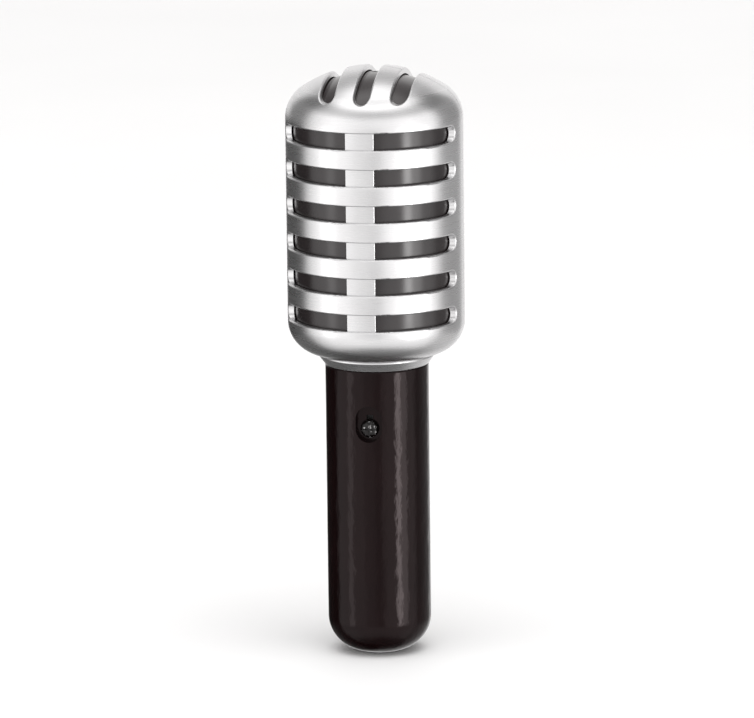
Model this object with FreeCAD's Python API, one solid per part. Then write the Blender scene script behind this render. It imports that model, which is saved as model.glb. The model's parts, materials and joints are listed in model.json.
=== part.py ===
import FreeCAD, Part
import math
import os

# Retro toy microphone: a slotted silver head on a round black handle.
# Millimetres. +Z runs up the microphone's axis, the front (switch, spine) faces -Y,
# and the origin is the centre of the handle's flat base.

V = FreeCAD.Vector
UP = V(0, 0, 1)
BACK = V(0, 1, 0)

# Handle: two half shells
HANDLE_R = 15.5
HANDLE_TOP_Z = 88.0
HANDLE_WALL = 2.2
HANDLE_LIP = 0.5
BASE_CORNER_R = 10.75

# Collar ring between handle and head
COLLAR_H = 3.4
COLLAR_TOP_R = 17.6
COLLAR_LOW_R = 15.8
COLLAR_EDGE = 0.5

# Head: two half shells, a straight drum with a rounded shoulder and a flattened dome
HEAD_R = 26.5
HEAD_WALL = 1.7
HEAD_Z = HANDLE_TOP_Z + COLLAR_H
SHOULDER_R = 9.85
DOME_Z = 162.3
DOME_H = 15.5
DOME_CORNER_R = 10.75

# Sound slots round the drum, in rows on each half, split by a recessed spine
SLOT_ROWS = 6
SLOT_H = 4.95
SLOT_PITCH = 10.88
SLOT_TOP_Z = 161.6
SLOT_HALF_ANGLE = 73.8
SLOT_END_SLANT = 35.0
SPINE_W = 8.6
SPINE_RECESS = 0.9
SPINE_EDGE = 0.25
SLOT_EDGE = 0.5

# Slots over the dome, running front to back, with round ends as seen from the front
DOME_SLOT_W = 4.7
DOME_SLOT_X = 10.8
DOME_SLOT_LOW_Z = 169.4

# Parting line
PARTING_W = 0.2
PARTING_DEPTH = 0.35
TONGUE_T = 0.8
TONGUE_L = 1.0
TONGUE_FIT = 0.1

# Liner behind the slots
LINER_GAP = 0.4
LINER_WALL = 1.4
LINER_BOTTOM_Z = 100.3
LEDGE_H = 1.5
LEDGE_INNER_R = 21.5
SOUND_HOLE_R = 0.9
SOUND_HOLE_PITCH = 3.6
SOUND_HOLES = 4

# Neck tube: clamped by the head halves above and the handle halves below
NECK_R = 11.5
NECK_BORE_R = 9.3
NECK_LOW_Z = 81.3
NECK_FLANGE_R = 15.4
NECK_FLANGE_H = 2.4
NECK_GROOVE_Z = 83.0
NECK_GROOVE_H = 2.0
NECK_GROOVE_DEPTH = 1.2
NECK_FIT = 0.1

# Screws: pan head, plain shank in place of the thread
SCREW_R = 1.2
SCREW_HEAD_R = 2.5
SCREW_HEAD_H = 1.7
SCREW_LENGTH = 12.0
BOSS_R = 3.7
PILOT_FIT = 0.05
CLEARANCE_FIT = 0.3
HEAD_SCREW_X = 19.5
HEAD_SCREW_Z = 96.5
HANDLE_SCREW_Z = (28.0, 52.0)
SCREW_SEAT_Y = 5.0
PILOT_SPARE = 1.0

# Capsule and what carries it
POST_DISC_R = 12.8
POST_DISC_H = 1.8
POST_R = 4.0
POST_BORE_R = 2.6
POST_TOP_Z = 134.0
POST_SCREW_X = 10.6
SMALL_SCREW_R = 0.8
SMALL_HEAD_R = 1.5
SMALL_HEAD_H = 0.9
SMALL_SLOT_W = 0.5
CUSHION_R = 6.5
CUSHION_LOW_Z = 131.0
CUSHION_TOP_Z = 143.4
CAPSULE_R = 4.85
CAPSULE_Z = 136.6
CAPSULE_H = 6.7
CAPSULE_WALL = 0.4
CAPSULE_HOLE_R = 1.2
BOARD_T = 1.0
SPACER_WALL = 0.8
BACK_PLATE_T = 0.8
DISC_FIT = 0.1
AIR_GAP = 0.3
FILM_T = 0.2
FILM_DROP = 0.4
FELT_T = 0.5
FELT_INSET = 0.2
FOAM_R = 12.0
FOAM_LOW_Z = 122.0
FOAM_CORE_TOP_Z = 145.0
FOAM_FIT = 0.2

# Slide switch in the handle's front
SWITCH_Z = 72.0
SWITCH_TRAVEL = 3.0
RECESS_W = 8.0
RECESS_FLOOR_Y = -12.9
PAD_FACE_Y = -11.2
PAD_HALF_X = 7.3
PAD_MARGIN_Z = 1.2
PILOT_DEPTH = 1.8
KNOB_R = 2.8
KNOB_TOP_Y = -15.1
KNOB_GAP = 0.2
KNOB_EDGE = 1.9
GRIP_W = 0.44
STEM_HALF = 0.7
STEM_TIP_Y = -14.0
CAN_HALF_X = 3.0
CAN_HALF_Z = 6.2
CAN_DEPTH = 4.1
CAN_WALL = 0.4
EAR_X = 5.6
EAR_HALF_Z = 1.8
EAR_FIT = 0.2
EAR_HOLE_FIT = 0.1
SLIDE_GAP = 0.15
SLIDER_HALF_X = 1.9
SLIDER_HALF_Z = 4.0
SLIDER_T = 1.75
WIPER_HALF_X = 0.9
WIPER_HALF_Z = 2.0
WIPER_T = 0.25
WIPER_BUMP_R = 0.24
CONTACT_HALF = 0.8
CONTACT_T = 0.2
SWITCH_BASE_T = 1.0
TERMINAL_PITCH = 3.0
TERMINAL_W = 1.0
TERMINAL_T = 0.4
TERMINAL_TIP_Y = -4.6

# Jack socket in the base, for a 3.5 mm plug
JACK_BORE_R = 1.8
JACK_DEPTH = 15.0
JACK_NOSE_R = 3.0
JACK_HALF_X = 4.0
JACK_HALF_Y = 4.5
JACK_LOW_Z = 2.3
JACK_TOP_Z = 17.0
JACK_BUSH_T = 0.5
JACK_BUSH_H = 4.0
JACK_TIP_Z = 13.0
LEAF_HALF_Y = 0.7
LEAF_HALF_Z = 0.9
LEAF_T = 0.4
LEAF_SEAT_FIT = 0.1
TAG_W = 1.4
TAG_Z = 18.5
FOOT_LOW_Z = 3.3
CRADLE_T = 1.2
CRADLE_LAP = 2.0

# Hook-up leads
LEAD_R = 0.5

SLACK = 40.0  # cutters reach this far past what they cut


def box(low, high):
    """A box between two corners."""
    size = [h - l for l, h in zip(low, high)]
    return Part.makeBox(*size, V(*low))


def tube(outer_r, inner_r, low_z, high_z):
    """A ring about the microphone's axis."""
    height = high_z - low_z
    outer = Part.makeCylinder(outer_r, height, V(0, 0, low_z))
    return outer.cut(Part.makeCylinder(inner_r, height, V(0, 0, low_z)))


def disc(radius, low_z, high_z):
    return Part.makeCylinder(radius, high_z - low_z, V(0, 0, low_z))


def rod_y(radius, x, z, low_y, high_y):
    """A cylinder that runs front to back."""
    return Part.makeCylinder(radius, high_y - low_y, V(x, low_y, z), BACK)


def revolved(edges, degrees=360):
    """The solid that a closed outline in the XZ plane sweeps about the axis."""
    return Part.Face(Part.Wire(edges)).revolve(V(0, 0, 0), UP, degrees)


def line(start, end):
    return Part.LineSegment(V(start[0], 0, start[1]), V(end[0], 0, end[1])).toShape()


def corner_arc(centre, radius, start_deg, end_deg):
    """An arc in the XZ plane about a centre, by its angles from +X."""
    points = []
    for degrees in (start_deg, (start_deg + end_deg) / 2, end_deg):
        a = math.radians(degrees)
        points.append(V(centre[0] + radius * math.cos(a), 0, centre[1] + radius * math.sin(a)))
    return Part.Arc(*points).toShape()


def merged(first, *others):
    """One solid from several that touch."""
    return first.fuse(list(others)).removeSplitter()


def front_half(shape):
    return shape.common(box((-SLACK, -SLACK, -SLACK), (SLACK, 0, HEAD_Z + 3 * SLACK)))


def rear_half(shape):
    return shape.common(box((-SLACK, 0, -SLACK), (SLACK, SLACK, HEAD_Z + 3 * SLACK)))


def turned(shape, degrees):
    """A copy turned about the microphone's axis."""
    copy = shape.copy()
    copy.rotate(V(0, 0, 0), UP, degrees)
    return copy


# ---------------------------------------------------------------- head


def dome_arcs(inset):
    """The dome's outline: a small arc up from the drum, then a wide one over the top."""
    corner_x = HEAD_R - DOME_CORNER_R
    crown_r = (corner_x ** 2 + DOME_H ** 2 - DOME_CORNER_R ** 2) / (2 * (DOME_H - DOME_CORNER_R))
    crown_z = DOME_Z + DOME_H - crown_r
    turn = math.degrees(math.atan2(DOME_Z - crown_z, corner_x))
    return [
        corner_arc((corner_x, DOME_Z), DOME_CORNER_R - inset, 0, turn),
        corner_arc((0, crown_z), crown_r - inset, turn, 90),
    ]


def head_body(inset, degrees=360):
    """The head's outer form, or that form shrunk by a wall. Half a turn gives one half."""
    radius = HEAD_R - inset
    corner_x = HEAD_R - SHOULDER_R
    corner_z = HEAD_Z + SHOULDER_R
    low = HEAD_Z + inset
    top = DOME_Z + DOME_H - inset
    return revolved([
        line((0, low), (corner_x, low)),
        corner_arc((corner_x, corner_z), SHOULDER_R - inset, -90, 0),
        line((radius, corner_z), (radius, DOME_Z)),
        *dome_arcs(inset),
        line((0, top), (0, low)),
    ], degrees)


def sector(inner_r, outer_r, low_z, high_z, half_angle):
    """A stretch of a ring, centred on the front."""
    height = high_z - low_z
    wedge = Part.makeCylinder(outer_r, height, V(0, 0, low_z), UP, 2 * half_angle)
    wedge.rotate(V(0, 0, 0), UP, -90 - half_angle)
    return wedge.cut(Part.makeCylinder(inner_r, height, V(0, 0, low_z)))


def slot_row_cutter(middle_z):
    """One row on the front half: two slots with round outer ends, and the spine's recess."""
    inner_r = HEAD_R - HEAD_WALL - 1
    outer_r = HEAD_R + 2
    end_r = SLOT_H / 2
    end_angle = SLOT_HALF_ANGLE - math.degrees(end_r / HEAD_R)
    straight_angle = end_angle - math.degrees(end_r / HEAD_R)
    low, high = middle_z - end_r, middle_z + end_r
    spine = box((-SPINE_W / 2, -SLACK, low), (SPINE_W / 2, 0, high))
    cutter = sector(inner_r, outer_r, low, high, straight_angle).cut(spine)
    pieces = [slot_end(middle_z, side, end_angle) for side in (-1, 1)]
    recess = sector(HEAD_R - SPINE_RECESS, outer_r, low, high, straight_angle).common(spine)
    return cutter.fuse(pieces + [recess])


def slot_end(middle_z, side, end_angle):
    """A slot's round outer end, whose wall slants outward."""
    end_r = SLOT_H / 2
    reach = 2 * HEAD_WALL
    low_y, high_y = -HEAD_R - reach, -HEAD_R + reach
    x = sorted((0, -2 * side * end_r))
    end = rod_y(end_r, 0, middle_z, low_y, high_y).fuse(
        box((x[0], low_y, middle_z - end_r), (x[1], high_y, middle_z + end_r)))
    end.rotate(V(0, -HEAD_R, middle_z), UP, side * SLOT_END_SLANT)
    return turned(end, side * end_angle)


def dome_slot_cutter(x):
    """One slot over the dome, cut from the front as the mould would."""
    half_w = DOME_SLOT_W / 2
    low = DOME_SLOT_LOW_Z + half_w
    end = rod_y(half_w, x, low, -SLACK, SLACK)
    return merged(box((x - half_w, -SLACK, low), (x + half_w, SLACK, DOME_Z + DOME_H + 2)), end)


def slot_middles():
    return [SLOT_TOP_Z - SLOT_H / 2 - row * SLOT_PITCH for row in range(SLOT_ROWS)]


def outer_slot_edges(piece):
    """The edges where the slots break the outer surface of a piece of the head."""
    skin = head_body(0).Shells[0]
    levels = [z + side * SLOT_H / 2 for z in slot_middles() for side in (-1, 1)]
    picked = []
    for edge in piece.Edges:
        first, last = edge.ParameterRange
        points = [edge.valueAt(first + (last - first) * t) for t in (0.1, 0.5, 0.9)]
        on_joint = all(abs(p.y) < 0.01 for p in points)
        level = max(p.z for p in points) - min(p.z for p in points) < 0.01
        at_slot = any(abs(points[1].z - z) < 0.01 for z in levels)
        if on_joint or (level and not at_slot):
            continue
        if all(Part.Vertex(p).distToShape(skin)[0] < 0.01 for p in points):
            picked.append(edge)
    return picked


def spine_corners(piece):
    """The upright edges of the spine's face on a band of the head."""
    picked = []
    for edge in piece.Edges:
        middle = edge.CenterOfMass
        off_face = abs(math.hypot(middle.x, middle.y) - HEAD_R + SPINE_RECESS) > 0.01
        upright = abs(edge.tangentAt(edge.FirstParameter).z) > 0.99
        if upright and not off_face and abs(abs(middle.x) - SPINE_W / 2) < 0.01:
            picked.append(edge)
    return picked


def slotted_half(degrees):
    """One half of the head's wall, made as a shoulder, a band for each row of slots, and the dome."""
    wall = head_body(0, degrees).cut(head_body(HEAD_WALL, degrees))
    rows = slot_middles()
    joints = [(upper + lower) / 2 for upper, lower in zip(rows, rows[1:])]
    levels = [DOME_Z] + joints + [HEAD_Z + SHOULDER_R]
    turn = 180 if degrees > 0 else 0
    dome = between(wall, DOME_Z, SLACK + DOME_Z)
    dome = dome.cut([dome_slot_cutter(x) for x in (-DOME_SLOT_X, 0, DOME_SLOT_X)])
    pieces = [dome.makeFillet(SLOT_EDGE, outer_slot_edges(dome))]
    for z, high, low in zip(rows, levels, levels[1:]):
        band = between(wall, low, high).cut(turned(slot_row_cutter(z), turn))
        band = band.makeFillet(SLOT_EDGE, outer_slot_edges(band))
        pieces.append(band.makeFillet(SPINE_EDGE, spine_corners(band)))
    return between(wall, 0, levels[-1]).fuse(pieces)


def between(shape, low_z, high_z):
    """The part of a shape between two heights."""
    return shape.common(box((-SLACK, -SLACK, low_z), (SLACK, SLACK, high_z)))


def parting_groove(outer, inset):
    """A fine line round the joint of two halves."""
    width = PARTING_W / 2
    slab = box((-SLACK, -width, -SLACK), (SLACK, width, HEAD_Z + 3 * SLACK))
    return outer.cut(inset).common(slab)


def head_screw_bosses():
    """Bosses low in the head, kept inside the shells."""
    bosses = [rod_y(BOSS_R, x, HEAD_SCREW_Z, -SLACK, SLACK) for x in (-HEAD_SCREW_X, HEAD_SCREW_X)]
    return bosses[0].fuse(bosses[1]).common(head_body(HEAD_WALL / 2))


def screw_hole(x, z):
    """Clearance hole, head seat and pilot hole for one screw from the rear."""
    return rod_y(SCREW_R + PILOT_FIT, x, z, SCREW_SEAT_Y - SCREW_LENGTH, 0).fuse([
        rod_y(SCREW_R + CLEARANCE_FIT, x, z, 0, SCREW_SEAT_Y),
        rod_y(SCREW_HEAD_R + CLEARANCE_FIT, x, z, SCREW_SEAT_Y, SLACK),
    ])


def side_tongues(x_middle, low_z, high_z, grow):
    """Strips along the joint that key the two halves of a shell together."""
    strips = []
    half = TONGUE_T / 2 + grow
    for side in (-1, 1):
        x = side * x_middle
        strips.append(box((x - half, 0, low_z - grow), (x + half, TONGUE_L + grow, high_z + grow)))
    return strips[0].fuse(strips[1])


def head_shells():
    """Front and rear halves of the silver head."""
    inside = head_body(HEAD_WALL / 2)
    wall_r = HEAD_R - HEAD_WALL / 2
    flange_top = HEAD_Z + HEAD_WALL + NECK_FLANGE_H
    ledge = tube(wall_r, LEDGE_INNER_R, LINER_BOTTOM_Z - LEDGE_H, LINER_BOTTOM_Z)
    keeper = tube(wall_r, NECK_FLANGE_R - 1, flange_top + NECK_FIT, flange_top + LEDGE_H)
    extras = ledge.fuse([keeper]).common(inside).fuse(head_screw_bosses())
    neck_hole = disc(NECK_R + NECK_FIT, HEAD_Z - 1, HEAD_Z + HEAD_WALL + 1)
    groove = parting_groove(head_body(0), head_body(PARTING_DEPTH))
    holes = [screw_hole(x, HEAD_SCREW_Z) for x in (-HEAD_SCREW_X, HEAD_SCREW_X)]
    low, high = HEAD_Z + SHOULDER_R + 2, DOME_Z - 2
    front = slotted_half(-180).fuse(front_half(extras)).cut([neck_hole, groove] + holes)
    rear = slotted_half(180).fuse(rear_half(extras)).cut([neck_hole, groove] + holes)
    front = front.fuse(side_tongues(wall_r, low, high, 0))
    return front, rear.cut(side_tongues(wall_r, low, high, TONGUE_FIT))


def head_liner():
    """The dark capped sleeve behind the slots, with sound holes under the middle dome slot."""
    below = disc(SLACK, 0, LINER_BOTTOM_Z)
    outer, inner = [head_body(HEAD_WALL + LINER_GAP + t).cut(below) for t in (0, LINER_WALL)]
    liner = outer.cut(inner)
    holes = []
    for index in range(SOUND_HOLES):
        y = (index + 0.5) * SOUND_HOLE_PITCH
        holes.append(Part.makeCylinder(SOUND_HOLE_R, 2 * DOME_H, V(0, y, DOME_Z + 1)))
    return liner.cut(holes)


def screw_from_rear(x, z):
    """A pan-head screw that points to the front, with a cross recess."""
    seat_y = SCREW_SEAT_Y
    head = rod_y(SCREW_HEAD_R, x, z, seat_y, seat_y + SCREW_HEAD_H)
    rim = [e for e in head.Edges if abs(e.CenterOfMass.y - seat_y - SCREW_HEAD_H) < 0.01]
    head = head.makeFillet(SCREW_HEAD_H / 2, rim)
    shank = rod_y(SCREW_R, x, z, seat_y - SCREW_LENGTH + PILOT_SPARE, seat_y)
    return merged(head, shank).cut(cross_recess(x, z, seat_y + SCREW_HEAD_H))


def cross_recess(x, z, face_y):
    """The cutter for a cross-head drive."""
    reach, half, depth = SCREW_R, SCREW_R / 4, SCREW_HEAD_H * 0.6
    flat = box((x - reach, face_y - depth, z - half), (x + reach, face_y + 1, z + half))
    tall = box((x - half, face_y - depth, z - reach), (x + half, face_y + 1, z + reach))
    return flat.fuse(tall)


def head_screws():
    """Two screws hold the head's halves."""
    return Part.makeCompound([screw_from_rear(x, HEAD_SCREW_Z)
                              for x in (-HEAD_SCREW_X, HEAD_SCREW_X)])


# ---------------------------------------------------------------- neck


def collar_ring():
    """The silver ring that flares from the handle to the head."""
    bore = NECK_R + NECK_FIT
    low, top = HANDLE_TOP_Z, HEAD_Z
    edge = COLLAR_EDGE
    return revolved([
        line((bore, low), (COLLAR_LOW_R - edge, low)),
        corner_arc((COLLAR_LOW_R - edge, low + edge), edge, -90, -25),
        line((COLLAR_LOW_R - edge + edge * math.cos(math.radians(25)),
              low + edge - edge * math.sin(math.radians(25))),
             (COLLAR_TOP_R - edge + edge * math.cos(math.radians(25)),
              top - edge - edge * math.sin(math.radians(25)))),
        corner_arc((COLLAR_TOP_R - edge, top - edge), edge, -25, 90),
        line((COLLAR_TOP_R - edge, top), (bore, top)),
        line((bore, top), (bore, low)),
    ])


def neck_tube():
    """The flanged tube that joins head and handle."""
    flange_z = HEAD_Z + HEAD_WALL
    body = merged(disc(NECK_R, NECK_LOW_Z, flange_z),
                  disc(NECK_FLANGE_R, flange_z, flange_z + NECK_FLANGE_H))
    groove = tube(NECK_R + 1, NECK_R - NECK_GROOVE_DEPTH, NECK_GROOVE_Z, NECK_GROOVE_Z + NECK_GROOVE_H)
    bore = disc(NECK_BORE_R, NECK_LOW_Z, flange_z + NECK_FLANGE_H)
    pilots = [Part.makeCylinder(SMALL_SCREW_R + PILOT_FIT, NECK_FLANGE_H, V(x, 0, flange_z))
              for x in (-POST_SCREW_X, POST_SCREW_X)]
    return body.cut([groove, bore] + pilots)


# ---------------------------------------------------------------- capsule


def post_disc_z():
    return HEAD_Z + HEAD_WALL + NECK_FLANGE_H


def capsule_post():
    """The hollow post that holds the capsule up in the head."""
    low = post_disc_z()
    body = merged(disc(POST_DISC_R, low, low + POST_DISC_H), disc(POST_R, low, POST_TOP_Z))
    holes = [Part.makeCylinder(SMALL_SCREW_R + CLEARANCE_FIT / 2, POST_DISC_H, V(x, 0, low))
             for x in (-POST_SCREW_X, POST_SCREW_X)]
    return body.cut([disc(POST_BORE_R, low, POST_TOP_Z)] + holes)


def capsule_post_screws():
    """Two small screws hold the post on the neck tube's flange."""
    seat = post_disc_z() + POST_DISC_H
    screws = []
    for x in (-POST_SCREW_X, POST_SCREW_X):
        head = Part.makeCylinder(SMALL_HEAD_R, SMALL_HEAD_H, V(x, 0, seat))
        length = POST_DISC_H + NECK_FLANGE_H - PILOT_SPARE / 2
        shank = Part.makeCylinder(SMALL_SCREW_R, length, V(x, 0, seat - length))
        slot = box((x - SMALL_HEAD_R, -SMALL_SLOT_W / 2, seat + SMALL_HEAD_H / 2),
                   (x + SMALL_HEAD_R, SMALL_SLOT_W / 2, seat + SMALL_HEAD_H))
        screws.append(merged(head, shank).cut(slot))
    return Part.makeCompound(screws)


def capsule_cushion():
    """The rubber cup that grips the post below and the capsule above."""
    body = disc(CUSHION_R, CUSHION_LOW_Z, CUSHION_TOP_Z)
    return body.cut([
        disc(POST_R, CUSHION_LOW_Z, POST_TOP_Z),
        disc(POST_BORE_R, POST_TOP_Z, CAPSULE_Z),
        disc(CAPSULE_R, CAPSULE_Z, CUSHION_TOP_Z),
    ])


def capsule_can():
    """The aluminium cup of the capsule, with its sound hole."""
    top = CAPSULE_Z + CAPSULE_H
    body = disc(CAPSULE_R, CAPSULE_Z, top)
    inside = disc(CAPSULE_R - CAPSULE_WALL, CAPSULE_Z, top - CAPSULE_WALL)
    return body.cut([inside, disc(CAPSULE_HOLE_R, top - CAPSULE_WALL, top)])


def capsule_parts():
    """The discs stacked inside the capsule's can, and the felt on its face."""
    inner = CAPSULE_R - CAPSULE_WALL
    ring_r = inner - SPACER_WALL
    top = CAPSULE_Z + CAPSULE_H
    under_lid = top - CAPSULE_WALL
    board_top = CAPSULE_Z + BOARD_T
    film_top = under_lid - FILM_DROP
    plate_top = film_top - FILM_T - AIR_GAP
    plate_low = plate_top - BACK_PLATE_T
    film_ring = tube(inner - DISC_FIT, ring_r, plate_top, under_lid)
    return {
        "capsule_board": disc(inner, CAPSULE_Z, board_top),
        "capsule_spacer": tube(inner, ring_r, board_top, plate_low),
        "capsule_back_plate": disc(inner - DISC_FIT, plate_low, plate_top),
        "capsule_diaphragm": merged(film_ring, disc(ring_r, film_top - FILM_T, film_top)),
        "capsule_felt": disc(CAPSULE_R - FELT_INSET, top, top + FELT_T),
    }


def foam_windshield():
    """The foam cap pulled over the capsule and its cushion."""
    dome_low = FOAM_CORE_TOP_Z
    outer = revolved([
        line((0, FOAM_LOW_Z), (FOAM_R, FOAM_LOW_Z)),
        line((FOAM_R, FOAM_LOW_Z), (FOAM_R, dome_low)),
        corner_arc((0, dome_low), FOAM_R, 0, 90),
        line((0, dome_low + FOAM_R), (0, FOAM_LOW_Z)),
    ])
    return outer.cut(disc(CUSHION_R + FOAM_FIT, FOAM_LOW_Z, dome_low))


# ---------------------------------------------------------------- handle


def handle_body(inset):
    """The handle's outer form, or that form shrunk by a wall."""
    radius = HANDLE_R - inset
    corner_x = HANDLE_R - BASE_CORNER_R
    top = HANDLE_TOP_Z - inset
    lip = HANDLE_LIP
    return revolved([
        line((0, inset), (corner_x, inset)),
        corner_arc((corner_x, BASE_CORNER_R), BASE_CORNER_R - inset, -90, 0),
        line((radius, BASE_CORNER_R), (radius, top - lip)),
        corner_arc((radius - lip, top - lip), lip, 0, 90),
        line((radius - lip, top), (0, top)),
        line((0, top), (0, inset)),
    ])


def stadium_y(width, low_z, high_z, low_y, high_y):
    """An upright slot-shaped prism that runs front to back."""
    radius = width / 2
    body = box((-radius, low_y, low_z + radius), (radius, high_y, high_z - radius))
    for z in (low_z + radius, high_z - radius):
        body = body.fuse(rod_y(radius, 0, z, low_y, high_y))
    return body.removeSplitter()


def switch_recess():
    """The recess that the knob slides in, and the stem's slot in its floor."""
    half = (RECESS_W + SWITCH_TRAVEL) / 2
    recess = stadium_y(RECESS_W, SWITCH_Z - half, SWITCH_Z + half, -SLACK, RECESS_FLOOR_Y)
    stem_w = 2 * STEM_HALF + 2 * CLEARANCE_FIT
    reach = (SWITCH_TRAVEL + stem_w) / 2
    slot = box((-stem_w / 2, -SLACK, SWITCH_Z - reach), (stem_w / 2, 0, SWITCH_Z + reach))
    return recess, slot


def switch_pad():
    """The thick patch inside the front wall that the switch is screwed to."""
    half_z = (RECESS_W + SWITCH_TRAVEL) / 2 + PAD_MARGIN_Z
    patch = box((-PAD_HALF_X, -HANDLE_R, SWITCH_Z - half_z), (PAD_HALF_X, PAD_FACE_Y, SWITCH_Z + half_z))
    return patch.common(handle_body(HANDLE_WALL / 2))


def switch_pad_pilots():
    return [rod_y(SMALL_SCREW_R + PILOT_FIT, x, SWITCH_Z, PAD_FACE_Y - PILOT_DEPTH, PAD_FACE_Y)
            for x in (-EAR_X, EAR_X)]


def handle_ribs():
    """What both halves carry inside: neck rib, screw bosses and the jack's cradle."""
    inside = handle_body(HANDLE_WALL / 2)
    rib_low = NECK_GROOVE_Z + NECK_FIT
    rib_high = NECK_GROOVE_Z + NECK_GROOVE_H - NECK_FIT
    ribs = [tube(HANDLE_R, NECK_R - NECK_GROOVE_DEPTH + NECK_FIT, rib_low, rib_high)]
    ribs += [rod_y(BOSS_R, 0, z, -SLACK, SLACK) for z in HANDLE_SCREW_Z]
    side = JACK_HALF_X + NECK_FIT
    end = JACK_HALF_Y + NECK_FIT
    shelf = JACK_TOP_Z + NECK_FIT
    for s in (-1, 1):
        x = sorted((s * side, s * (side + CRADLE_T)))
        ribs.append(box((x[0], -HANDLE_R, 0), (x[1], HANDLE_R, JACK_TOP_Z)))
        y = sorted((s * (end - CRADLE_LAP), s * HANDLE_R))
        ribs.append(box((-side / 2, y[0], shelf), (side + CRADLE_T, y[1], shelf + CRADLE_T)))
    return [rib.common(inside) for rib in ribs]


def handle_shells():
    """Front and rear halves of the black handle."""
    outer = handle_body(0)
    shell = outer.cut(handle_body(HANDLE_WALL)).fuse(handle_ribs() + [switch_pad()])
    recess, slot = switch_recess()
    neck_hole = disc(NECK_R + NECK_FIT, HANDLE_TOP_Z - 2 * HANDLE_WALL, HANDLE_TOP_Z + 1)
    nose_hole = disc(JACK_NOSE_R + NECK_FIT / 2, -1, HANDLE_WALL + 1)
    groove = parting_groove(outer, handle_body(PARTING_DEPTH))
    holes = [screw_hole(0, z) for z in HANDLE_SCREW_Z]
    shell = shell.cut([recess, slot, neck_hole, nose_hole, groove] + holes + switch_pad_pilots())
    wall_r = HANDLE_R - HANDLE_WALL / 2
    low, high = BASE_CORNER_R + 4, HANDLE_TOP_Z - 3 * HANDLE_WALL
    front = merged(front_half(shell), side_tongues(wall_r, low, high, 0))
    rear = rear_half(shell).cut(side_tongues(wall_r, low, high, TONGUE_FIT))
    return front, rear


def handle_screws():
    """Two screws hold the handle's halves."""
    return Part.makeCompound([screw_from_rear(0, z) for z in HANDLE_SCREW_Z])


# ---------------------------------------------------------------- slide switch


def knob_z():
    """The knob rests at the low end of its travel."""
    return SWITCH_Z - SWITCH_TRAVEL / 2


def switch_knob():
    """The glossy round knob, with a crossed grip in its domed face and a square socket behind."""
    back = RECESS_FLOOR_Y - KNOB_GAP
    knob = rod_y(KNOB_R, 0, knob_z(), KNOB_TOP_Y, back)
    rim = [e for e in knob.Edges if abs(e.CenterOfMass.y - KNOB_TOP_Y) < 0.01]
    knob = knob.makeFillet(KNOB_EDGE, rim)
    grip = GRIP_W / 2
    for along in (0, 90):
        bar = box((-KNOB_R, KNOB_TOP_Y - 1, -grip), (KNOB_R, KNOB_TOP_Y + GRIP_W, grip))
        bar.rotate(V(0, 0, 0), BACK, along)
        bar.translate(V(0, 0, knob_z()))
        knob = knob.cut(bar)
    socket = box((-STEM_HALF, STEM_TIP_Y, knob_z() - STEM_HALF), (STEM_HALF, back, knob_z() + STEM_HALF))
    return knob.cut(socket)


def slider_block_y():
    """Front and back of the slider's block inside the can."""
    front = PAD_FACE_Y + CAN_WALL + SLIDE_GAP
    return front, front + SLIDER_T


def switch_slider():
    """The switch's own plastic slider: its stem carries the knob, its block always covers the slot."""
    front, back = slider_block_y()
    block = box((-SLIDER_HALF_X, front, knob_z() - SLIDER_HALF_Z),
                (SLIDER_HALF_X, back, knob_z() + SLIDER_HALF_Z))
    stem = box((-STEM_HALF, STEM_TIP_Y, knob_z() - STEM_HALF), (STEM_HALF, front, knob_z() + STEM_HALF))
    return merged(block, stem)


def switch_wiper():
    """The brass clip that the slider carries along the contacts."""
    back = slider_block_y()[1]
    face = back + WIPER_T
    half_x = WIPER_HALF_X
    plate = box((-half_x, back, knob_z() - WIPER_HALF_Z), (half_x, face, knob_z() + WIPER_HALF_Z))
    bumps = [Part.makeCylinder(WIPER_BUMP_R, 2 * half_x, V(-half_x, face, knob_z() + z), V(1, 0, 0))
             for z in (-TERMINAL_PITCH / 2, TERMINAL_PITCH / 2)]
    return merged(plate, *bumps)


def switch_can():
    """The steel can with two screw ears."""
    front, back = PAD_FACE_Y, PAD_FACE_Y + CAN_DEPTH
    low, high = SWITCH_Z - CAN_HALF_Z, SWITCH_Z + CAN_HALF_Z
    body = box((-CAN_HALF_X, front, low), (CAN_HALF_X, back, high))
    ears = box((-PAD_HALF_X + EAR_FIT, front, SWITCH_Z - EAR_HALF_Z),
               (PAD_HALF_X - EAR_FIT, front + CAN_WALL, SWITCH_Z + EAR_HALF_Z))
    inside = box((-CAN_HALF_X + CAN_WALL, front + CAN_WALL, low + CAN_WALL),
                 (CAN_HALF_X - CAN_WALL, back, high - CAN_WALL))
    stem_w = 2 * STEM_HALF + 2 * CLEARANCE_FIT
    reach = (SWITCH_TRAVEL + stem_w) / 2
    window = box((-stem_w / 2, front - 1, SWITCH_Z - reach), (stem_w / 2, front + 1, SWITCH_Z + reach))
    hole_r = SMALL_SCREW_R + EAR_HOLE_FIT
    holes = [rod_y(hole_r, x, SWITCH_Z, front - 1, front + 1) for x in (-EAR_X, EAR_X)]
    return merged(body, ears).cut([inside, window] + holes)


def terminal_heights():
    return [SWITCH_Z + TERMINAL_PITCH * step for step in (-1, 0, 1)]


def switch_base():
    """The insulating board that closes the can."""
    back = PAD_FACE_Y + CAN_DEPTH
    half_x, half_z = CAN_HALF_X - CAN_WALL, CAN_HALF_Z - CAN_WALL
    board = box((-half_x, back - SWITCH_BASE_T, SWITCH_Z - half_z), (half_x, back, SWITCH_Z + half_z))
    return board.cut([terminal_pin(z) for z in terminal_heights()])


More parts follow.
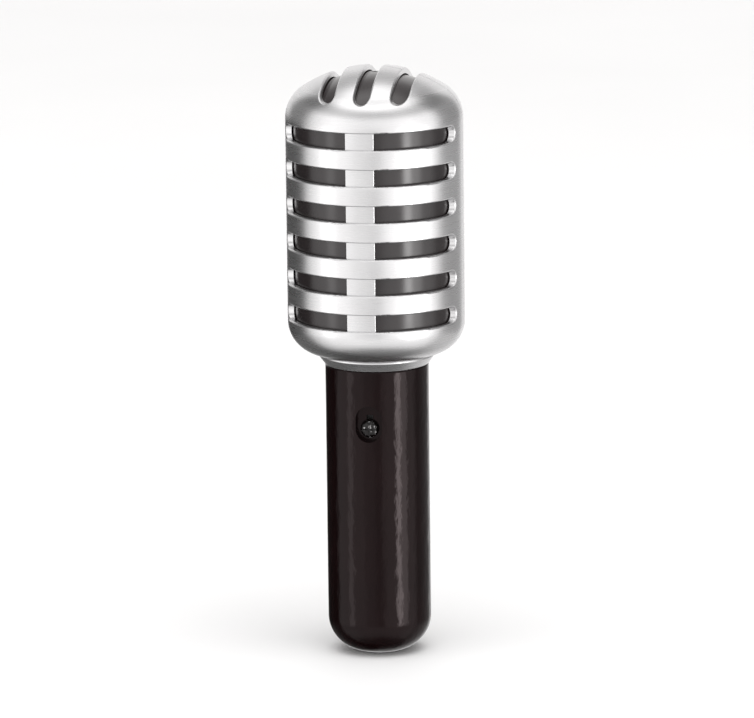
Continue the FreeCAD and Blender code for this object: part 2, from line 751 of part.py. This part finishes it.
def terminal_pin(z):
    back = PAD_FACE_Y + CAN_DEPTH
    return box((-TERMINAL_W / 2, back - SWITCH_BASE_T, z - TERMINAL_T / 2),
               (TERMINAL_W / 2, TERMINAL_TIP_Y, z + TERMINAL_T / 2))


def switch_terminals():
    """Three contacts with solder tags through the board."""
    face = PAD_FACE_Y + CAN_DEPTH - SWITCH_BASE_T
    tags = []
    for z in terminal_heights():
        pad = box((-CONTACT_HALF, face - CONTACT_T, z - CONTACT_HALF),
                  (CONTACT_HALF, face, z + CONTACT_HALF))
        tags.append(merged(pad, terminal_pin(z)))
    return Part.makeCompound(tags)


def switch_screws():
    """Two small screws hold the can's ears to the front shell."""
    seat = PAD_FACE_Y + CAN_WALL
    screws = []
    for x in (-EAR_X, EAR_X):
        head = rod_y(SMALL_HEAD_R, x, SWITCH_Z, seat, seat + SMALL_HEAD_H)
        shank = rod_y(SMALL_SCREW_R, x, SWITCH_Z, PAD_FACE_Y - 0.9 * PILOT_DEPTH, seat)
        slot = box((x - SMALL_HEAD_R, seat + SMALL_HEAD_H / 2, SWITCH_Z - SMALL_SLOT_W / 2),
                   (x + SMALL_HEAD_R, seat + SMALL_HEAD_H, SWITCH_Z + SMALL_SLOT_W / 2))
        screws.append(merged(head, shank).cut(slot))
    return Part.makeCompound(screws)


# ---------------------------------------------------------------- jack socket


def jack_body():
    """The socket's plastic body; its nose fills the hole in the handle's base."""
    side, front = JACK_HALF_X, JACK_HALF_Y
    body = merged(box((-side, -front, JACK_LOW_Z), (side, front, JACK_TOP_Z)),
                  disc(JACK_NOSE_R, 0, JACK_LOW_Z))
    bush_seat = disc(JACK_BORE_R + JACK_BUSH_T, 0, JACK_BUSH_H)
    half_y = LEAF_HALF_Y + LEAF_SEAT_FIT
    low, high = JACK_TIP_Z - LEAF_HALF_Z - LEAF_SEAT_FIT, JACK_TIP_Z + LEAF_HALF_Z + LEAF_SEAT_FIT
    window = box((0, -half_y, low), (side, half_y, high))
    leaf_seat = box((side - LEAF_T - LEAF_SEAT_FIT, -half_y, low), (side, half_y, JACK_TOP_Z))
    return body.cut([disc(JACK_BORE_R, 0, JACK_DEPTH), bush_seat, window, leaf_seat, sleeve_foot()])


def jack_bush():
    """The metal bush in the socket's mouth, which is the sleeve contact."""
    return tube(JACK_BORE_R + JACK_BUSH_T, JACK_BORE_R, 0, JACK_BUSH_H)


def jack_tip_contact():
    """The leaf that meets the plug's tip, with its solder tag above the socket."""
    side = JACK_HALF_X
    low, high = JACK_TIP_Z - LEAF_HALF_Z, JACK_TIP_Z + LEAF_HALF_Z
    leaf = box((side - LEAF_T, -LEAF_HALF_Y, low), (side, LEAF_HALF_Y, TAG_Z))
    nose = box((JACK_BORE_R + LEAF_SEAT_FIT, -LEAF_HALF_Y, low), (side - LEAF_T / 2, LEAF_HALF_Y, high))
    return merged(leaf, nose)


def sleeve_foot():
    """The sleeve contact's strip through the plastic, which ends on the bush."""
    foot = box((-JACK_HALF_X, -JACK_HALF_Y, FOOT_LOW_Z), (-JACK_BUSH_T, -JACK_BORE_R, FOOT_LOW_Z + LEAF_T))
    return foot.cut(disc(JACK_BORE_R + JACK_BUSH_T, 0, JACK_BUSH_H))


def jack_sleeve_tag():
    """The sleeve contact: a foot on the bush and a strip up the outside to a solder tag."""
    side, front = JACK_HALF_X, JACK_HALF_Y
    strip = box((-side, -front - LEAF_T, FOOT_LOW_Z), (TAG_W - side, -front, TAG_Z))
    return merged(strip, sleeve_foot())


# ---------------------------------------------------------------- leads


def lead(points):
    """A wire along straight runs joined by tangent arcs."""
    route = [V(*p) for p in points]
    edges = []
    start = route[0]
    for before, corner, after in zip(route, route[1:], route[2:]):
        into = corner - before
        out = after - corner
        trim = 0.45 * min(into.Length, out.Length)
        enter = corner - into * (trim / into.Length)
        leave = corner + out * (trim / out.Length)
        radius = trim / math.tan(into.getAngle(out) / 2)
        middle = arc_middle(corner, enter, leave, radius)
        edges.append(Part.LineSegment(start, enter).toShape())
        edges.append(Part.Arc(enter, middle, leave).toShape())
        start = leave
    edges.append(Part.LineSegment(start, route[-1]).toShape())
    spine = Part.Wire(edges)
    first = (route[1] - route[0]).normalize()
    ring = Part.Wire(Part.makeCircle(LEAD_R, route[0], first))
    return spine.makePipeShell([ring], True, True)


def arc_middle(corner, enter, leave, radius):
    """The middle of the arc that rounds a corner."""
    chord = (enter + leave) * 0.5
    inward = (chord - corner).normalize()
    half_chord = (leave - enter).Length / 2
    sagitta = radius - math.sqrt(max(radius ** 2 - half_chord ** 2, 0))
    return chord - inward * sagitta


def leads():
    """Three wires: capsule to switch, switch to jack, and the ground from capsule to jack."""
    tag_y = TERMINAL_TIP_Y
    lower, upper = terminal_heights()[1:]
    top = CAPSULE_Z
    tip_x = JACK_HALF_X - LEAF_T / 2
    sleeve_x = TAG_W / 2 - JACK_HALF_X
    sleeve_y = -JACK_HALF_Y - LEAF_T / 2
    return {
        "lead_capsule_to_switch": lead([
            (1.2, 0, top), (1.2, 0, 118), (1.2, 0.3, 100), (2.2, 1.2, 87),
            (1.6, 0.6, 79), (0, tag_y + 3.4, upper), (0, tag_y, upper),
        ]),
        "lead_switch_to_jack": lead([
            (0, tag_y, lower), (0, tag_y + 3, lower), (4.2, 0.2, 67), (6.4, 0.2, 56),
            (6.6, -0.2, 42), (6.2, 0.2, 29), (tip_x, 0, TAG_Z + 3), (tip_x, 0, TAG_Z),
        ]),
        "lead_ground": lead([
            (-1.2, 0, top), (-1.2, 0, 118), (-1.2, 0.3, 100), (-3.4, 1.2, 86), (-6.0, 0.6, 72),
            (-6.6, -0.6, 56), (-6.4, -0.2, 40), (-5.6, -2.4, 28),
            (sleeve_x, sleeve_y, TAG_Z + 3), (sleeve_x, sleeve_y, TAG_Z),
        ]),
    }


def build():
    """Every node's shape, by name."""
    head_front, head_rear = head_shells()
    handle_front, handle_rear = handle_shells()
    nodes = {
        "head_shell_front": head_front,
        "head_shell_rear": head_rear,
        "head_screws": head_screws(),
        "head_liner": head_liner(),
        "collar_ring": collar_ring(),
        "neck_tube": neck_tube(),
        "capsule_post": capsule_post(),
        "capsule_post_screws": capsule_post_screws(),
        "capsule_cushion": capsule_cushion(),
        "capsule_can": capsule_can(),
        "foam_windshield": foam_windshield(),
        "handle_shell_front": handle_front,
        "handle_shell_rear": handle_rear,
        "handle_screws": handle_screws(),
        "switch_knob": switch_knob(),
        "switch_slider": switch_slider(),
        "switch_wiper": switch_wiper(),
        "switch_can": switch_can(),
        "switch_base": switch_base(),
        "switch_terminals": switch_terminals(),
        "switch_screws": switch_screws(),
        "jack_body": jack_body(),
        "jack_bush": jack_bush(),
        "jack_tip_contact": jack_tip_contact(),
        "jack_sleeve_tag": jack_sleeve_tag(),
    }
    nodes.update(capsule_parts())
    nodes.update(leads())
    return nodes


os.makedirs("parts", exist_ok=True)
for name, shape in build().items():
    print(name, len(shape.Solids), round(shape.Volume, 1), shape.isValid())
    shape.exportStep("parts/" + name + ".step")
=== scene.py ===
import json
import math

import bmesh
import bpy
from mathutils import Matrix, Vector, noise


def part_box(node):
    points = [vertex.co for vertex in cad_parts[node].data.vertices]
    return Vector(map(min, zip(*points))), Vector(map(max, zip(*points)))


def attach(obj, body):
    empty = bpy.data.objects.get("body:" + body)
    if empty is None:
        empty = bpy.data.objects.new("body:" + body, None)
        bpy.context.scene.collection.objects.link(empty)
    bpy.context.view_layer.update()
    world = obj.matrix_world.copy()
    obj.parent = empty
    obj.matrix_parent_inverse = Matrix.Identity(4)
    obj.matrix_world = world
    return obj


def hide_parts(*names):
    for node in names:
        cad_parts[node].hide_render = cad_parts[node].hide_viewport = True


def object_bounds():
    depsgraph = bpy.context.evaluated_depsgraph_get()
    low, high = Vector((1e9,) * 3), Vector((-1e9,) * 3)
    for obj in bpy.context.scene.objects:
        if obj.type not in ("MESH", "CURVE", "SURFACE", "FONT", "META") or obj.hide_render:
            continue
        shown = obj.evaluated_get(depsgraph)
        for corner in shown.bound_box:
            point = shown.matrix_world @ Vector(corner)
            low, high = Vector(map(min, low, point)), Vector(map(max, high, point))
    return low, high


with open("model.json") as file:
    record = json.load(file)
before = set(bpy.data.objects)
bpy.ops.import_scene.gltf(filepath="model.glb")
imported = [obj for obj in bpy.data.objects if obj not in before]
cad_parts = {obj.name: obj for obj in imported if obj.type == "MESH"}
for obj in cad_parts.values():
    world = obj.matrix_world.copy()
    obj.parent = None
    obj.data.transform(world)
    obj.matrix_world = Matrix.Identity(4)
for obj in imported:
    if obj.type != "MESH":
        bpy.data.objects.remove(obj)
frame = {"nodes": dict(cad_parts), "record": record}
cad_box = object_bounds()

# The camera stands to the object's right of its front and looks a little down on it.
VIEW_AZIMUTH = math.radians(10.3)
CAMERA_REACH = 2.07
CAMERA_HEIGHT = 0.517
CAMERA_ROLL = math.radians(0.66)
CAMERA_CLIP = (0.05, 50)
FRAME_FILL = 0.86
SENSOR_MM = 36
IMAGE_SIZE = (754, 718)

FLOOR_SIZE = 12.0
FLOOR_CELLS = 8

# What the shiny surfaces mirror: three rings of white panels and gaps, one seen by looking steeply
# down, one a little down and one up. Each point is an angle from the camera's side, in degrees,
# + to its right, and a level of light.
FLOOR_PANELS = ((-180, 0.95), (-165, 0.15), (-108, 0.08), (-95, 0.8), (-70, 1.3), (-30, 1.35), (0, 1.25),
                (40, 1.4), (80, 1.3), (97, 0.7), (142, 0.75), (165, 0.95), (180, 0.95))
LOW_PANELS = ((-180, 1.2), (-172, 0.8), (-163, 0.03), (-108, 0.03), (-98, 1.0), (-86, 1.3), (-73, 1.5),
              (-69, 2.8), (-61, 2.8), (-57, 1.5), (-36, 1.5), (-28, 1.15), (-12, 1.02), (-2, 0.74),
              (4, 0.72), (12, 1.3), (20, 1.6), (38, 1.7), (43, 9.5), (49, 11.0), (53, 4.5), (65, 4.0),
              (70, 1.6), (82, 1.5), (97, 0.42), (142, 0.42), (152, 1.2), (180, 1.2))
HIGH_PANELS = ((-180, 1.1), (-152, 1.0), (-138, 0.22), (-105, 0.2), (-88, 1.2), (-60, 1.7), (-20, 1.3),
               (0, 1.3), (45, 1.7), (84, 1.4), (98, 0.33), (142, 0.33), (152, 1.1), (180, 1.1))
PANEL_PEAK = max(level for azimuth, level in LOW_PANELS)
# How the rings and the panel overhead take over from each other, by the sine of the angle up
FLOOR_HEIGHTS = ((-1.0, 0.1), (-0.9, 0.25), (-0.8, 0.75), (-0.62, 1.0), (-0.42, 1.0), (-0.3, 0.0),
                 (1.0, 0.0))
LOW_HEIGHTS = ((-1.0, 0.0), (-0.42, 0.0), (-0.3, 1.0), (-0.16, 1.0), (-0.05, 0.0), (1.0, 0.0))
HIGH_HEIGHTS = ((-1.0, 0.0), (-0.16, 0.0), (-0.05, 1.0), (0.45, 1.0), (0.60, 0.5), (0.78, 0.5),
                (1.0, 0.0))
OVERHEAD_HEIGHTS = ((-1.0, 0.0), (0.78, 0.0), (0.90, 1.7), (0.97, 1.5), (1.0, 1.2))
BACKDROP_LEVEL = 0.93

# The softbox that lights the floor and makes the soft shadow
SOFTBOX_AZIMUTH = 20
SOFTBOX_REACH = 0.45
SOFTBOX_HEIGHT = 1.5
SOFTBOX_SIZE = 1.1
SOFTBOX_POWER = 9.5

# The foam cap, in metres; it keeps inside its CAD solid
FOAM_INSET = 0.0001
FOAM_BORE_R = 0.0068
FOAM_RIM = 0.0012
FOAM_SIDES = 200
FOAM_DOME_STEPS = 52
FOAM_WALL_STEPS = 60
FOAM_RIM_STEPS = 8
FOAM_FLAT_STEPS = 12
FOAM_BORE_STEPS = 14
FOAM_CELLS = 900
PORE_DEPTH = 0.0003
PORE_SLOPE = 2.2
PORE_MEAN = 0.7
PORE_SPREAD = 0.3
PORE_PATCHES = 0.3
GRAIN_CELLS = 1.6 * FOAM_CELLS


# ---------------------------------------------------------------- materials


class Recipe:
    """A material made of nodes, built step by step in the object's own metres."""

    def __init__(self, name):
        self.material = bpy.data.materials.new(name)
        self.material.use_nodes = True
        self.tree = self.material.node_tree
        self.shader = self.tree.nodes["Principled BSDF"]
        self.coords = self.tree.nodes.new("ShaderNodeTexCoord").outputs["Object"]

    def set(self, **values):
        """Numbers and colours that are the same all over."""
        for key, value in values.items():
            self.shader.inputs[key.replace("_", " ")].default_value = value
        return self

    def stretched(self, scale):
        """The object's coordinates, scaled on each axis."""
        node = self.tree.nodes.new("ShaderNodeMapping")
        node.inputs["Scale"].default_value = scale
        self.tree.links.new(self.coords, node.inputs["Vector"])
        return node.outputs["Vector"]

    def noise(self, scale, detail=3.0, stretch=None):
        """Noise with a number of features per metre."""
        node = self.tree.nodes.new("ShaderNodeTexNoise")
        node.inputs["Scale"].default_value = scale
        node.inputs["Detail"].default_value = detail
        source = self.stretched(stretch) if stretch else self.coords
        self.tree.links.new(source, node.inputs["Vector"])
        return node.outputs["Fac"]

    def cells(self, scale):
        """Round cells, for foam, felt and rubber."""
        node = self.tree.nodes.new("ShaderNodeTexVoronoi")
        node.inputs["Scale"].default_value = scale
        self.tree.links.new(self.coords, node.inputs["Vector"])
        return node.outputs["Distance"]

    def spread(self, value, low, high, from_low=0.3, from_high=0.7):
        """A noise value mapped on to a range of numbers."""
        node = self.tree.nodes.new("ShaderNodeMapRange")
        node.inputs["From Min"].default_value = from_low
        node.inputs["From Max"].default_value = from_high
        node.inputs["To Min"].default_value = low
        node.inputs["To Max"].default_value = high
        self.tree.links.new(value, node.inputs["Value"])
        return node.outputs["Result"]

    def colour(self, value, first, second):
        """The base colour, between two colours by a value from 0 to 1."""
        node = self.tree.nodes.new("ShaderNodeMix")
        node.data_type = "RGBA"
        node.inputs["A"].default_value = (*first, 1)
        node.inputs["B"].default_value = (*second, 1)
        self.tree.links.new(value, node.inputs["Factor"])
        self.tree.links.new(node.outputs["Result"], self.shader.inputs["Base Color"])
        return self

    def roughness(self, value, low, high):
        self.tree.links.new(self.spread(value, low, high), self.shader.inputs["Roughness"])
        return self

    def bumps(self, *layers):
        """Bump layers, each a value, a height in metres and a strength."""
        normal = None
        for value, height, strength in layers:
            node = self.tree.nodes.new("ShaderNodeBump")
            node.inputs["Distance"].default_value = height
            node.inputs["Strength"].default_value = strength
            self.tree.links.new(value, node.inputs["Height"])
            if normal:
                self.tree.links.new(normal, node.inputs["Normal"])
            normal = node.outputs["Normal"]
        self.tree.links.new(normal, self.shader.inputs["Normal"])
        return self


def silver_paint():
    """Satin silver paint on moulded plastic: fine flake, soft clouds, faint lines round the head."""
    m = Recipe("silver_paint")
    m.set(Metallic=0.95, Coat_Weight=0.08, Coat_Roughness=0.2)
    clouds = m.noise(38, 4)
    flake = m.noise(5200, 1)
    rubbed = m.noise(40, 5, stretch=(1, 1, 42))
    m.colour(m.spread(clouds, 0, 1), (0.60, 0.595, 0.60), (0.70, 0.70, 0.705))
    m.roughness(rubbed, 0.26, 0.3)
    return m.bumps((flake, 0.00002, 0.2),
                   (rubbed, 0.00008, 0.022),
                   (m.noise(120, 2), 0.0001, 0.05)).material


def black_gloss():
    """Polished black plastic, slightly wavy from the mould, with faint handling marks."""
    m = Recipe("black_gloss")
    m.set(Specular_IOR_Level=0.15, Specular_Tint=(1.0, 0.86, 0.87, 1))
    m.colour(m.spread(m.noise(60, 3), 0, 1), (0.0042, 0.0014, 0.0015), (0.0065, 0.0024, 0.0026))
    m.roughness(m.noise(90, 5, stretch=(1, 1, 0.35)), 0.06, 0.14)
    return m.bumps((m.noise(42, 2, stretch=(1, 1, 0.45)), 0.0009, 0.22),
                   (m.noise(340, 3, stretch=(1, 1, 0.6)), 0.0004, 0.35),
                   (m.noise(900, 2), 0.00002, 0.12)).material


def liner_gloss():
    """Dark glossy plastic behind the slots."""
    m = Recipe("liner_gloss")
    m.set(Specular_IOR_Level=0.55)
    m.colour(m.spread(m.noise(50, 3), 0, 1), (0.018, 0.014, 0.0145), (0.027, 0.0215, 0.022))
    m.roughness(m.noise(70, 4), 0.16, 0.24)
    return m.bumps((m.noise(45, 2), 0.0006, 0.08), (m.noise(1500, 2), 0.00002, 0.15)).material


def knob_gloss():
    """Dark glossy plastic of the switch knob, with a few light specks painted in as glints."""
    m = Recipe("knob_gloss")
    m.set(Specular_IOR_Level=0.3)
    painted_glint_specks = m.noise(1050, 1)
    # Painted highlight: the light specks in the base colour stand in for glints of light on the knob.
    m.colour(m.spread(painted_glint_specks, 0, 1, 0.62, 0.75), (0.004, 0.003, 0.003), (0.42, 0.41, 0.41))
    m.roughness(m.noise(600, 4), 0.07, 0.13)
    return m.bumps((painted_glint_specks, 0.0004, 0.6), (m.noise(1500, 2), 0.00003, 0.2)).material


def moulded(name, dark, light, rough_low, rough_high, grain):
    """Plain moulded or insulated plastic with a fine grain."""
    m = Recipe(name)
    m.colour(m.spread(m.noise(180, 3), 0, 1), dark, light)
    m.roughness(m.noise(400, 4), rough_low, rough_high)
    return m.bumps((m.noise(grain, 2), 0.00004, 0.3)).material


def metal(name, dark, light, rough_low, rough_high, brushed=(1, 1, 1)):
    """Bare or plated metal with fine drawn lines."""
    m = Recipe(name)
    m.set(Metallic=1.0)
    lines = m.noise(900, 4, stretch=brushed)
    m.colour(m.spread(lines, 0, 1), dark, light)
    m.roughness(m.noise(300, 4), rough_low, rough_high)
    return m.bumps((lines, 0.00002, 0.2)).material


def soft(name, dark, light, pores, height):
    """Felt or rubber."""
    m = Recipe(name)
    m.set(Sheen_Weight=0.25, Sheen_Roughness=0.5)
    cells = m.cells(pores)
    m.colour(m.spread(cells, 0, 1, 0.1, 0.6), dark, light)
    m.roughness(m.noise(500, 3), 0.82, 0.95)
    return m.bumps((cells, height, 0.6)).material


def board():
    """Phenolic paper board with a faint fibre."""
    m = Recipe("circuit_board")
    m.colour(m.spread(m.noise(700, 4, stretch=(1, 1, 4)), 0, 1), (0.24, 0.12, 0.045), (0.36, 0.20, 0.08))
    m.roughness(m.noise(500, 3), 0.5, 0.65)
    return m.bumps((m.noise(2500, 2), 0.00002, 0.3)).material


def foam_cells():
    """Charcoal open-cell foam, with painted shade darkening its cells and the strands between them lighter.
    """
    m = Recipe("foam_cells")
    m.set(Sheen_Weight=0.3, Sheen_Roughness=0.6)
    # Painted shade: the colour is darker in the hollows of the cells, where shade falls.
    m.colour(m.spread(m.cells(GRAIN_CELLS), 0, 1, 0.1, 0.7), (0.016, 0.016, 0.017), (0.075, 0.075, 0.08))
    m.roughness(m.noise(500, 3), 0.85, 0.97)
    return m.bumps((m.cells(GRAIN_CELLS), 0.0003, 0.5)).material


def materials_by_slot():
    """The record's material slots and what each is made of."""
    return {
        "silver_shell": silver_paint(),
        "liner_dark": liner_gloss(),
        "handle_black": black_gloss(),
        "knob_black": knob_gloss(),
        "black_abs": moulded("black_abs", (0.018, 0.018, 0.018), (0.03, 0.03, 0.03), 0.42, 0.55, 1800),
        "socket_black": moulded("socket_black", (0.012, 0.012, 0.012), (0.022, 0.022, 0.022), 0.3, 0.42,
                                1500),
        "lead_red": moulded("lead_red", (0.36, 0.012, 0.012), (0.5, 0.02, 0.018), 0.35, 0.5, 900),
        "lead_black": moulded("lead_black", (0.012, 0.012, 0.012), (0.02, 0.02, 0.02), 0.35, 0.5, 900),
        "screw_steel": metal("screw_steel", (0.42, 0.42, 0.44), (0.58, 0.58, 0.6), 0.28, 0.42),
        "can_steel": metal("can_steel", (0.52, 0.52, 0.53), (0.64, 0.64, 0.65), 0.25, 0.38, (1, 1, 8)),
        "capsule_aluminium": metal("capsule_aluminium", (0.66, 0.66, 0.67), (0.78, 0.78, 0.79), 0.25, 0.35),
        "contact_brass": metal("contact_brass", (0.68, 0.47, 0.19), (0.8, 0.6, 0.3), 0.2, 0.32),
        "contact_nickel": metal("contact_nickel", (0.6, 0.58, 0.54), (0.72, 0.7, 0.66), 0.18, 0.28),
        "circuit_board": board(),
        "black_rubber": soft("black_rubber", (0.012, 0.012, 0.012), (0.02, 0.02, 0.02), 2500, 0.00002),
        "felt_black": soft("felt_black", (0.008, 0.008, 0.008), (0.018, 0.018, 0.018), 4000, 0.0001),
        "foam_grey": foam_cells(),
    }


def dress_nodes(materials):
    """Every CAD node gets the material of its slot."""
    for entry in frame["record"]["subparts"]:
        mesh = frame["nodes"][entry["node"]].data
        mesh.materials.clear()
        mesh.materials.append(materials[entry["material_slot"]])


# ---------------------------------------------------------------- foam


def foam_outline(low, high):
    """Half the foam cap's section, from the top of its outside round to the top of its bore."""
    outside = (high.x - low.x) / 2 - FOAM_INSET
    dome = high.z - FOAM_INSET - outside
    bottom = low.z + FOAM_INSET
    bore_top = dome - FOAM_INSET
    points = []
    for step in range(FOAM_DOME_STEPS):
        a = math.pi / 2 * (1 - step / FOAM_DOME_STEPS)
        points.append((outside * math.cos(a), dome + outside * math.sin(a)))
    wall = dome - bottom - FOAM_RIM
    for step in range(FOAM_WALL_STEPS):
        points.append((outside, dome - wall * step / FOAM_WALL_STEPS))
    for step in range(FOAM_RIM_STEPS + 1):
        a = -math.pi / 2 * step / FOAM_RIM_STEPS
        points.append((outside - FOAM_RIM * (1 - math.cos(a)), bottom + FOAM_RIM * (1 + math.sin(a))))
    flat = outside - FOAM_RIM - FOAM_BORE_R
    for step in range(1, FOAM_FLAT_STEPS):
        points.append((FOAM_BORE_R + flat * (1 - step / FOAM_FLAT_STEPS), bottom))
    for step in range(FOAM_WALL_STEPS + 1):
        points.append((FOAM_BORE_R, bottom + (bore_top - bottom) * step / FOAM_WALL_STEPS))
    for step in range(1, FOAM_BORE_STEPS):
        points.append((FOAM_BORE_R * (1 - step / FOAM_BORE_STEPS), bore_top))
    return points, bore_top


def pore(point):
    """How deep the foam's open cells are at a point, from 0 to 1."""
    near, next_near = noise.voronoi(point * FOAM_CELLS)[0][:2]
    rim = min(1.0, (next_near - near) * PORE_SLOPE)
    return rim * (PORE_MEAN + PORE_SPREAD * noise.noise(point * FOAM_CELLS * PORE_PATCHES))


def make_foam(material):
    """The foam cap over the capsule: a turned shape with open cells pressed into its skin."""
    low, high = (Vector(corner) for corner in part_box("foam_windshield"))
    outline, bore_top = foam_outline(low, high)
    mesh = bmesh.new()
    top = mesh.verts.new((0, 0, high.z - FOAM_INSET))
    angles = [2 * math.pi * k / FOAM_SIDES for k in range(FOAM_SIDES)]
    rings = []
    for radius, z in outline[1:]:
        rings.append([mesh.verts.new((radius * math.cos(a), radius * math.sin(a), z)) for a in angles])
    inside = mesh.verts.new((0, 0, bore_top))
    for k in range(FOAM_SIDES):
        after = (k + 1) % FOAM_SIDES
        mesh.faces.new((top, rings[0][k], rings[0][after]))
        mesh.faces.new((inside, rings[-1][after], rings[-1][k]))
        for upper, lower in zip(rings, rings[1:]):
            mesh.faces.new((upper[k], lower[k], lower[after], upper[after]))
    mesh.normal_update()
    moves = [(v, v.normal * (-PORE_DEPTH * pore(v.co))) for v in mesh.verts]
    for v, move in moves:
        v.co += move
    data = bpy.data.meshes.new("foam_cap")
    mesh.to_mesh(data)
    mesh.free()
    data.shade_smooth()
    foam = bpy.data.objects.new("foam_cap", data)
    bpy.context.scene.collection.objects.link(foam)
    data.materials.append(material)
    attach(foam, "microphone")
    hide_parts("foam_windshield")


# ---------------------------------------------------------------- studio


def aimed(obj, target):
    """Turns a light or camera to look at a point."""
    direction = Vector(target) - obj.location
    obj.rotation_euler = direction.to_track_quat("-Z", "Y").to_euler()


def around(azimuth, distance, height):
    """A place round the object, by its angle from the camera's side: 0 is the camera, + its right."""
    angle = VIEW_AZIMUTH + math.radians(azimuth)
    return Vector((distance * math.sin(angle), -distance * math.cos(angle), height))


def make_softbox(centre):
    """One large softbox overhead, for a soft shadow on the floor; no surface mirrors it."""
    light = bpy.data.lights.new("overhead", "AREA")
    light.shape = "RECTANGLE"
    light.size, light.size_y = SOFTBOX_SIZE, SOFTBOX_SIZE
    light.energy = SOFTBOX_POWER
    softbox = bpy.data.objects.new("overhead", light)
    bpy.context.scene.collection.objects.link(softbox)
    softbox.location = around(SOFTBOX_AZIMUTH, SOFTBOX_REACH, SOFTBOX_HEIGHT)
    softbox.visible_glossy = False
    aimed(softbox, (0, 0, centre.z))


def ramp(tree, value, stops):
    """A grey ramp from places and levels."""
    node = tree.nodes.new("ShaderNodeValToRGB")
    elements = node.color_ramp.elements
    for place, level in stops[1:-1]:
        elements.new(place).color = (level, level, level, 1)
    for element, (place, level) in ((elements[0], stops[0]), (elements[-1], stops[-1])):
        element.position = place
        element.color = (level, level, level, 1)
    tree.links.new(value, node.inputs["Fac"])
    return node.outputs["Color"]


def arithmetic(tree, operation, *values):
    """One sum, on sockets and numbers."""
    node = tree.nodes.new("ShaderNodeMath")
    node.operation = operation
    for socket, value in zip(node.inputs, values):
        if isinstance(value, (int, float)):
            socket.default_value = value
        else:
            tree.links.new(value, socket)
    return node.outputs["Value"]


def make_world():
    """White studio panels all round, with darker gaps between them; the camera sees a plain backdrop."""
    world = bpy.data.worlds.new("studio")
    bpy.context.scene.world = world
    world.use_nodes = True
    tree = world.node_tree
    direction = tree.nodes.new("ShaderNodeTexCoord").outputs["Generated"]
    axes = tree.nodes.new("ShaderNodeSeparateXYZ")
    tree.links.new(direction, axes.inputs["Vector"])
    x, y, z = (axes.outputs[name] for name in "XYZ")
    angle = arithmetic(tree, "ARCTAN2", x, arithmetic(tree, "MULTIPLY", y, -1.0))
    turns = arithmetic(tree, "MULTIPLY_ADD", angle, 0.5 / math.pi, 0.5 - VIEW_AZIMUTH / (2 * math.pi))
    around_once = arithmetic(tree, "FRACT", turns)
    height = arithmetic(tree, "MULTIPLY_ADD", z, 0.5, 0.5)
    lit = ramp(tree, height, [((1 + up) / 2, level) for up, level in OVERHEAD_HEIGHTS])
    rings = ((FLOOR_PANELS, FLOOR_HEIGHTS), (LOW_PANELS, LOW_HEIGHTS), (HIGH_PANELS, HIGH_HEIGHTS))
    for panels, heights in rings:
        stops = [(0.5 + azimuth / 360, level / PANEL_PEAK) for azimuth, level in panels]
        ring = ramp(tree, around_once, stops)
        band = ramp(tree, height, [((1 + up) / 2, level) for up, level in heights])
        ring = arithmetic(tree, "MULTIPLY", ring, PANEL_PEAK)
        lit = arithmetic(tree, "MULTIPLY_ADD", ring, band, lit)
    seen = tree.nodes.new("ShaderNodeLightPath").outputs["Is Camera Ray"]
    plain = arithmetic(tree, "SUBTRACT", 1.0, seen)
    level = arithmetic(tree, "MULTIPLY_ADD", lit, plain, arithmetic(tree, "MULTIPLY", seen, BACKDROP_LEVEL))
    background = tree.nodes["Background"]
    background.inputs["Color"].default_value = (1.0, 0.99, 0.987, 1)
    tree.links.new(level, background.inputs["Strength"])


def make_floor():
    """A plain pale floor, which the shiny surfaces don't mirror."""
    bpy.ops.mesh.primitive_grid_add(x_subdivisions=FLOOR_CELLS, y_subdivisions=FLOOR_CELLS, size=FLOOR_SIZE)
    floor = bpy.context.object
    floor.name = "floor"
    floor.visible_glossy = False
    m = Recipe("floor_paper")
    m.colour(m.spread(m.noise(3, 3), 0, 1), (0.84, 0.84, 0.84), (0.88, 0.88, 0.88))
    m.roughness(m.noise(20, 3), 0.6, 0.7)
    floor.data.materials.append(m.material)


def make_camera(low, high):
    """The photograph's viewing angle and distance, with the object filling most of the frame."""
    middle = (low + high) / 2
    data = bpy.data.cameras.new("camera")
    camera = bpy.data.objects.new("camera", data)
    bpy.context.scene.collection.objects.link(camera)
    camera.location = around(0, CAMERA_REACH, CAMERA_HEIGHT)
    aimed(camera, middle)
    camera.rotation_euler.rotate_axis("Z", -CAMERA_ROLL)
    distance = (camera.location - middle).length
    tilt = math.atan2(CAMERA_HEIGHT - middle.z, CAMERA_REACH)
    width = max(high.x - low.x, high.y - low.y)
    tall = (high.z - low.z) * math.cos(tilt) + width * math.sin(tilt)
    frame_height = tall / FRAME_FILL
    frame_width = frame_height * IMAGE_SIZE[0] / IMAGE_SIZE[1]
    data.sensor_width = SENSOR_MM
    data.lens = SENSOR_MM * distance / frame_width
    data.clip_start, data.clip_end = CAMERA_CLIP
    bpy.context.scene.camera = camera


bpy.context.scene.view_settings.view_transform = "Standard"
low, high = (Vector(corner) for corner in cad_box)
make_camera(low, high)
make_world()
make_floor()
make_softbox((low + high) / 2)
materials = materials_by_slot()
dress_nodes(materials)
make_foam(materials["foam_grey"])
